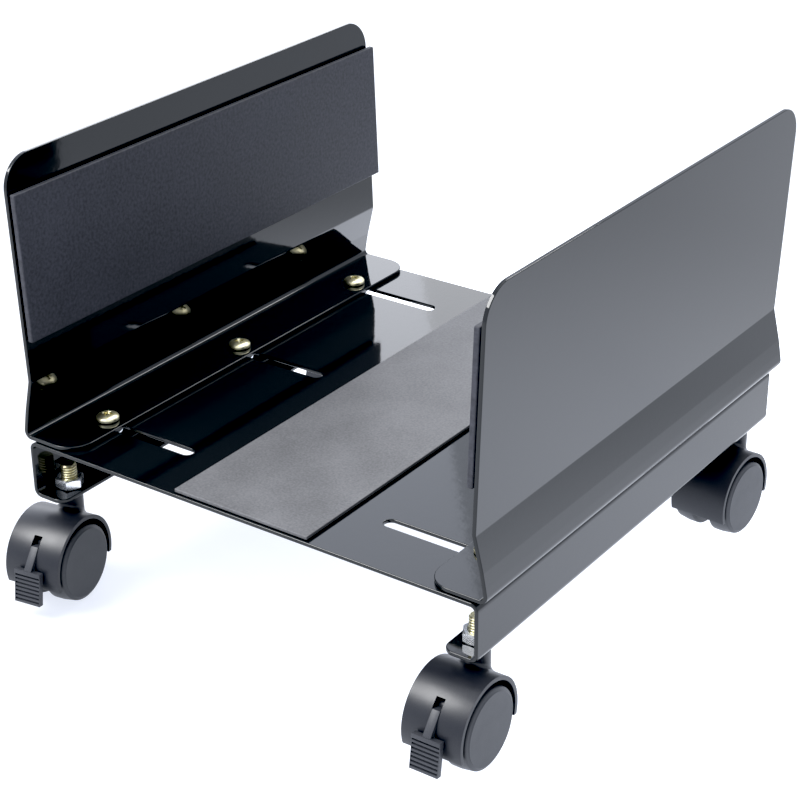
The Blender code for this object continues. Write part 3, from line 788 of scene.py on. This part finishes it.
def make_fasteners():
    """The six clamp screws and the flange nuts under the tray."""
    screw_mesh = clamp_screw_mesh()
    nut_mesh = flange_nut_mesh()
    spots = [(side, spot) for side in ("left", "right") for spot in CLAMP_PLACES]
    for turn, (side, spot) in zip(SCREW_TURNS, spots):
        low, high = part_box(f"{side}_{spot}_clamp_screw")
        centre = (low + high) / 2
        seat = Matrix.Translation((centre.x, centre.y, high.z - SCREW_HEAD_HEIGHT))
        spin = Matrix.Rotation(math.radians(turn), 4, "Z")
        place(f"{side}_{spot}_pan_screw", screw_mesh, "yellow_zinc", f"{side}_bracket",
              f"{side}_{spot}_clamp_screw", seat @ spin)
        low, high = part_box(f"{side}_{spot}_clamp_nut")
        place(f"{side}_{spot}_flange_nut", nut_mesh, "bright_zinc", f"{side}_bracket",
              f"{side}_{spot}_clamp_nut", Matrix.Translation((centre.x, centre.y, high.z)) @ spin)


# ---------------------------------------------------------------- casters

def hood_height(y):
    """Height of the hood's outer face over the axle."""
    return HOOD_RISE + math.sqrt(max(0.0, HOOD_RADIUS ** 2 - y ** 2))


def neck_mesh(top):
    """The hood's neck, which flares into the round top with a fillet."""
    around, steps = 72, 10
    rows = []

    def ring(radius, lift):
        row = []
        for count in range(around):
            turn = math.tau * count / around
            x, y = radius * math.cos(turn), TRAIL + radius * math.sin(turn)
            row.append((x, y, hood_height(y) + lift))
        return row

    rows.append(ring(NECK_RADIUS + NECK_FILLET, -NECK_SINK))
    for step in range(steps + 1):
        angle = math.pi / 2 * step / steps
        rows.append(ring(NECK_RADIUS + NECK_FILLET * (1 - math.sin(angle)),
                         NECK_FILLET * (1 - math.cos(angle))))
    for radius, z in ((NECK_RADIUS, top - NECK_ROUNDING), (NECK_RADIUS - NECK_ROUNDING, top)):
        rows.append([(x * radius / NECK_RADIUS, TRAIL + (y - TRAIL) * radius / NECK_RADIUS, z)
                     for x, y, _ in rows[steps + 1]])
    return grid_mesh(rows)


def hood_mesh(braked, neck_top):
    """Hood with its centre web and neck."""
    side_outline = arc((0.0, HOOD_RISE), HOOD_RADIUS, HOOD_FRONT_ANGLE, HOOD_REAR_ANGLE,
                       steps=96)
    body = outline_mesh([side_outline], -HOOD_HALF_WIDTH, HOOD_HALF_WIDTH, SIDE_VIEW)
    body = bevelled(body, HOOD_ROUNDING, segments=3, angle=50)
    steps = [(neck_mesh(neck_top), "UNION")]
    far = HOOD_HALF_WIDTH + REACH
    for side in (-1, 1):
        pocket = cylinder_mesh(HOOD_RADIUS - HOOD_WALL, (side * WEB_HALF_WIDTH, 0, HOOD_RISE),
                               (side * far, 0, HOOD_RISE), steps=128)
        steps.append((pocket, "DIFFERENCE"))
    stem_bore = cylinder_mesh(STEM_PIN_RADIUS + FIT_GAP, (0, TRAIL, STEM_BORE_BOTTOM),
                              (0, TRAIL, neck_top + REACH))
    steps.append((stem_bore, "DIFFERENCE"))
    steps.append((cylinder_mesh(AXLE_RADIUS + FIT_GAP, (-far, 0, 0), (far, 0, 0)), "DIFFERENCE"))
    if braked:
        half = LEVER_SLOT_WIDTH / 2
        slot = box_mesh((-half, -2 * HOOD_RADIUS, -HOOD_RADIUS),
                        (half, LEVER_SLOT_BACK, LEVER_SLOT_TOP))
        steps.append((slot, "DIFFERENCE"))
        end = WEB_HALF_WIDTH + FIT_GAP
        pin_bore = cylinder_mesh(LEVER_PIN_RADIUS + FIT_GAP, (-end, *LEVER_PIVOT),
                                 (end, *LEVER_PIVOT), steps=24)
        steps.append((pin_bore, "DIFFERENCE"))
    return smoothed(combined(body, steps), BLEND_ANGLE)


def wheel_mesh():
    """One wheel, turned about Z: dished face with a ring, crowned tread, and the hub's bore."""
    radius, face, back = WHEEL_RADIUS, WHEEL_OUTER_FACE, WHEEL_INNER_FACE
    groove = back + WHEEL_GROOVE_DEPTH
    profile = [(distance, face - depth) for distance, depth in WHEEL_DISH]
    profile += [(radius - inset, face - depth) for inset, depth in WHEEL_RING]
    profile += arc((radius - WHEEL_EDGE_INSET, face - WHEEL_EDGE_INSET), WHEEL_EDGE_RADIUS,
                   WHEEL_EDGE_START, 0.0, steps=8)
    profile.append((radius, face - WHEEL_CROWN_WIDTH))
    profile += arc((radius - WHEEL_INNER_EDGE, back + WHEEL_INNER_EDGE), WHEEL_INNER_EDGE,
                   0.0, -math.pi / 2, steps=5)
    wall = radius - WHEEL_TREAD_WALL
    bore = AXLE_RADIUS + FIT_GAP
    profile += [(wall, back), (wall - WHEEL_GROOVE_SLOPE, groove),
                (WHEEL_HUB_RADIUS + WHEEL_GROOVE_SLOPE, groove), (WHEEL_HUB_RADIUS, back),
                (bore, back), (bore, WHEEL_BORE_END), (0.0, WHEEL_BORE_END)]
    return smoothed(turned_mesh(profile, steps=96))


def lever_mesh():
    """Brake lever around its pivot: an arm with an eye, and a foot tab with ribs across it."""
    def from_pivot(points):
        return [(y - LEVER_PIVOT[0], z - LEVER_PIVOT[1]) for y, z in points]

    eye = arc((0, 0), LEVER_EYE_RADIUS, LEVER_EYE_START, LEVER_EYE_END, steps=28)
    arm_outline = from_pivot([LEVER_ARM_TOP, LEVER_ARM_FRONT, LEVER_ARM_BACK]) + eye
    half_arm, half_tab = LEVER_ARM_WIDTH / 2, LEVER_TAB_WIDTH / 2
    arm = outline_mesh([arm_outline], -half_arm, half_arm, SIDE_VIEW)
    arm = bevelled(arm, LEVER_ARM_ROUNDING, segments=2, angle=50)
    top, bottom = Vector(LEVER_TAB_FRONT[0]), Vector(LEVER_TAB_FRONT[1])
    along = (bottom - top).normalized()
    inward = Vector((along.y, -along.x))
    inward = -inward if inward.x < 0 else inward
    length = (bottom - top).length
    pitch = (length - LEDGE_HEIGHT - RIB_MARGIN) / LEVER_RIBS
    front = [top, top + along * LEDGE_HEIGHT,
             top + along * LEDGE_HEIGHT + inward * LEDGE_STEP, bottom + inward * LEDGE_STEP]
    tab_outline = from_pivot([tuple(p) for p in front] + list(LEVER_TAB_BACK))
    tab = outline_mesh([tab_outline], -half_tab, half_tab, SIDE_VIEW)
    tab = bevelled(tab, LEVER_TAB_ROUNDING, segments=2, angle=35)
    groove_end = half_tab - RIB_END_WALL
    grooves = []
    for rib in range(LEVER_RIBS):
        start = LEDGE_HEIGHT + rib * pitch
        cut = [top + along * (start + share * pitch) + inward * (LEDGE_STEP + depth)
               for share, depth in RIB_GROOVE]
        outline = from_pivot([tuple(p) for p in cut])
        grooves.append((outline_mesh([outline], -groove_end, groove_end, SIDE_VIEW), "DIFFERENCE"))
    tab = combined(tab, grooves)
    bore = cylinder_mesh(LEVER_PIN_RADIUS + FIT_GAP, (-half_tab, 0, 0), (half_tab, 0, 0),
                         steps=24)
    return smoothed(combined(arm, [(tab, "UNION"), (bore, "DIFFERENCE")]), angle=35)


def stem_mesh(low, high, shoulder):
    """Threaded stem over a plain pin."""
    thread = thread_mesh(STEM_RADIUS, STEM_PITCH, shoulder, high, STEM_POINT,
                         around=48, per_pitch=10)
    radius, rounding = STEM_PIN_RADIUS, STEM_PIN_ROUNDING
    top = shoulder + STEM_PIN_OVERLAP
    pin = turned_mesh([(0, top), (radius, top), (radius, low + rounding),
                       (radius - rounding, low), (0, low)], steps=40)
    return smoothed(joined(thread, pin))


def ring_mesh(outer, inner, low, high, edge):
    """A flat ring with a chamfer of the given size on its outer edges."""
    profile = [(inner, high), (outer - edge, high), (outer, high - edge), (outer, low + edge),
               (outer - edge, low), (inner, low), (inner, high)]
    return smoothed(turned_mesh(profile, steps=64))


def pin_mesh(radius, half_length, edge):
    """A plain pin along Z with chamfered ends."""
    profile = [(0, half_length), (radius - edge, half_length), (radius, half_length - edge),
               (radius, -half_length + edge), (radius - edge, -half_length), (0, -half_length)]
    return smoothed(turned_mesh(profile, steps=40))


def make_casters():
    """Four casters at their joints' places, with a brake lever where the frame has its joint."""
    neck_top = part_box("rear_left_hood")[1].z - WHEEL_RADIUS
    hoods = {braked: hood_mesh(braked, neck_top) for braked in (True, False)}
    wheel = wheel_mesh()
    lever = lever_mesh()
    stem_low, stem_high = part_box("rear_left_stem")
    washer_low, washer_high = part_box("rear_left_swivel_washer")
    nut_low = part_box("rear_left_stem_nut")[0]
    stem = stem_mesh(stem_low.z, stem_high.z, washer_low.z)
    nut = hex_nut_mesh()
    washer = ring_mesh(NECK_RADIUS, STEM_RADIUS + FIT_GAP, washer_low.z, washer_high.z,
                       WASHER_ROUNDING)
    axle = pin_mesh(AXLE_RADIUS, AXLE_HALF_LENGTH, AXLE_ROUNDING)
    lever_pin = pin_mesh(LEVER_PIN_RADIUS, LEVER_PIN_HALF_LENGTH, LEVER_PIN_ROUNDING)
    sideways = Matrix.Rotation(math.pi / 2, 4, "Y")
    for name in CASTER_NAMES:
        centre = centre_of(f"{name}_stem")
        upright = Matrix.Translation((centre.x, centre.y, 0))
        on_lip = Matrix.Translation((centre.x, centre.y, nut_low.z))
        place(f"{name}_threaded_stem", stem, "yellow_zinc", "base", f"{name}_stem", upright)
        place(f"{name}_hex_nut", nut, "bright_zinc", "base", f"{name}_stem_nut", on_lip)
        place(f"{name}_neck_washer", washer, "black_nylon", "base", f"{name}_swivel_washer",
              upright)
        spin = JOINTS[f"{name}_left_wheel_spin"]
        angle = math.atan2(spin["axis"][1], spin["axis"][0])
        at_axle = Matrix.Translation(spin["pos_m"]) @ Matrix.Rotation(angle, 4, "Z")
        braked = f"{name}_brake_release" in JOINTS
        body = f"{name}_caster"
        place(f"{name}_caster_hood", hoods[braked], "black_nylon", body, f"{name}_hood", at_axle)
        place(f"{name}_axle_rod", axle, "plain_steel", body, f"{name}_axle", at_axle @ sideways)
        for side, tilt in (("left", -math.pi / 2), ("right", math.pi / 2)):
            place(f"{name}_{side}_wheel_disc", wheel, "wheel_plastic", f"{name}_{side}_wheel",
                  f"{name}_wheel_{side}", at_axle @ Matrix.Rotation(tilt, 4, "Y"))
        if braked:
            at_pivot = at_axle @ Matrix.Translation((0, *LEVER_PIVOT))
            place(f"{name}_brake_pedal", lever, "lever_plastic", f"{name}_brake",
                  f"{name}_brake_lever", at_pivot)
            place(f"{name}_pedal_pin", lever_pin, "plain_steel", body, f"{name}_lever_pin",
                  at_pivot @ sideways)


# ---------------------------------------------------------------- studio

def direction(azimuth, elevation):
    """Unit vector: azimuth in degrees clockwise from the back (+Y), elevation over the floor."""
    turn, lift = math.radians(azimuth), math.radians(elevation)
    return (math.sin(turn) * math.cos(lift), math.cos(turn) * math.cos(lift), math.sin(lift))


WORLD_COLOUR = (0.93, 0.98, 1.10)
WORLD_RADIANCE = 1.12
AIM = Vector((0.0, DECK_Y, DECK_TOP))
COOL = (0.82, 0.87, 1.0)
PLAIN = (1.0, 1.0, 1.0)
# Soft boxes: azimuth, elevation, distance, width, height, radiance, whether the box also lights
# matt surfaces, and its tint
SOFT_BOXES = {
    "back_left": (-59, 24, 2.0, 1.66, 1.05, 0.95, True, COOL),
    "back_left_low": (-56, 17, 1.9, 1.75, 0.66, 1.6, True, PLAIN),
    "back_left_edge": (-54, 24, 2.1, 1.75, 1.15, 0.4, True, COOL),
    "back_right": (-2, 51, 1.5, 0.60, 0.50, 10.0, False, PLAIN),
    "overhead": (10, 82, 1.2, 0.7, 0.7, 2.0, True, PLAIN),
    "front_left": (-140, 47, 1.5, 0.75, 0.75, 15.5, True, PLAIN),
}
FLOOR_REACH = 6
FLOOR_THICKNESS = 0.02
FLOOR_DROP = 0.0002  # the floor lies this far under the wheels
FLOOR_GREY = 0.3
FLOOR_GLOW = 0.77
# Round pools of light in the floor: x, y, radius, extra glow
POOLS = (
    (-0.09, 0.27, 0.28, 2.0),  # behind the left bracket
    (0.28, 0.05, 0.45, 0.9),  # beside the right bracket
)
TONE_BLACK = (0.014, 0.0130, 0.0130)

# Camera, placed from the middle of the tray's top
CAMERA_OFFSET = Vector((0.5177, -0.7354, 0.4557))
CAMERA_TILT = math.radians(63.246)
CAMERA_ROLL = math.radians(0.410)
CAMERA_TURN = math.radians(35.251)
CAMERA_LENS = 90.6
CAMERA_SHIFT = -0.0025


def make_world():
    world = bpy.data.worlds.new("studio")
    bpy.context.scene.world = world
    world.use_nodes = True
    background = world.node_tree.nodes["Background"]
    background.inputs["Color"].default_value = (*WORLD_COLOUR, 1.0)
    background.inputs["Strength"].default_value = WORLD_RADIANCE


def make_lights():
    """Area lights that face the middle of the tray and are seen only in reflections."""
    for name, settings in SOFT_BOXES.items():
        azimuth, elevation, distance, width, height, radiance, everywhere, tint = settings
        data = bpy.data.lights.new(name, "AREA")
        data.color = tint
        data.shape = "RECTANGLE"
        data.size = width
        data.size_y = height
        data.energy = radiance * math.pi * width * height
        light = bpy.data.objects.new(name, data)
        away = Vector(direction(azimuth, elevation))
        light.location = AIM + away * distance
        light.rotation_euler = away.to_track_quat("Z", "Y").to_euler()
        light.visible_camera = False
        light.visible_diffuse = everywhere
        bpy.context.scene.collection.objects.link(light)


def make_floor():
    """A pale floor with a glow of its own, like a light table, and two brighter pools."""
    material = new_material("floor", (FLOOR_GREY, FLOOR_GREY, FLOOR_GREY), 1.0)
    material.cycles.emission_sampling = "NONE"
    nodes, links = material.node_tree.nodes, material.node_tree.links
    shader = nodes["Principled BSDF"]
    shader.inputs["Specular IOR Level"].default_value = 0.0
    shader.inputs["Emission Color"].default_value = (*WORLD_COLOUR, 1.0)
    coordinates = nodes.new("ShaderNodeTexCoord")
    glow = None
    for x, y, radius, extra in POOLS:
        distance = nodes.new("ShaderNodeVectorMath")
        distance.operation = "DISTANCE"
        distance.inputs[1].default_value = (x, y, 0.0)
        links.new(coordinates.outputs["Object"], distance.inputs[0])
        falloff = nodes.new("ShaderNodeMapRange")
        falloff.interpolation_type = "SMOOTHSTEP"
        falloff.inputs["From Max"].default_value = radius
        falloff.inputs["To Min"].default_value = extra
        falloff.inputs["To Max"].default_value = 0.0
        links.new(distance.outputs["Value"], falloff.inputs["Value"])
        total = nodes.new("ShaderNodeMath")
        total.operation = "ADD"
        total.inputs[1].default_value = FLOOR_GLOW
        links.new(falloff.outputs["Result"], total.inputs[0])
        if glow:
            links.new(glow.outputs["Value"], total.inputs[1])
        glow = total
    links.new(glow.outputs["Value"], shader.inputs["Emission Strength"])
    mesh = box_mesh((-FLOOR_REACH, -FLOOR_REACH, -FLOOR_THICKNESS),
                    (FLOOR_REACH, FLOOR_REACH, -FLOOR_DROP))
    floor = new_object("floor", mesh)
    floor.data.materials.append(material)


def set_tone():
    """Plain colours, with the deepest shades taken to black as a camera does."""
    view = bpy.context.scene.view_settings
    view.view_transform = "Standard"
    view.use_curve_mapping = True
    view.curve_mapping.black_level = TONE_BLACK


def make_camera():
    data = bpy.data.cameras.new("camera")
    data.sensor_width = 36.0
    data.lens = CAMERA_LENS
    data.clip_start = 0.01
    data.shift_x = CAMERA_SHIFT
    camera = bpy.data.objects.new("camera", data)
    camera.location = AIM + CAMERA_OFFSET
    camera.rotation_euler = (CAMERA_TILT, CAMERA_ROLL, CAMERA_TURN)
    bpy.context.scene.collection.objects.link(camera)
    bpy.context.scene.camera = camera


set_tone()
make_camera()
make_world()
make_lights()
make_floor()
make_tray()
make_bracket("left", -1)
make_bracket("right", 1)
make_pads()
make_fasteners()
make_casters()
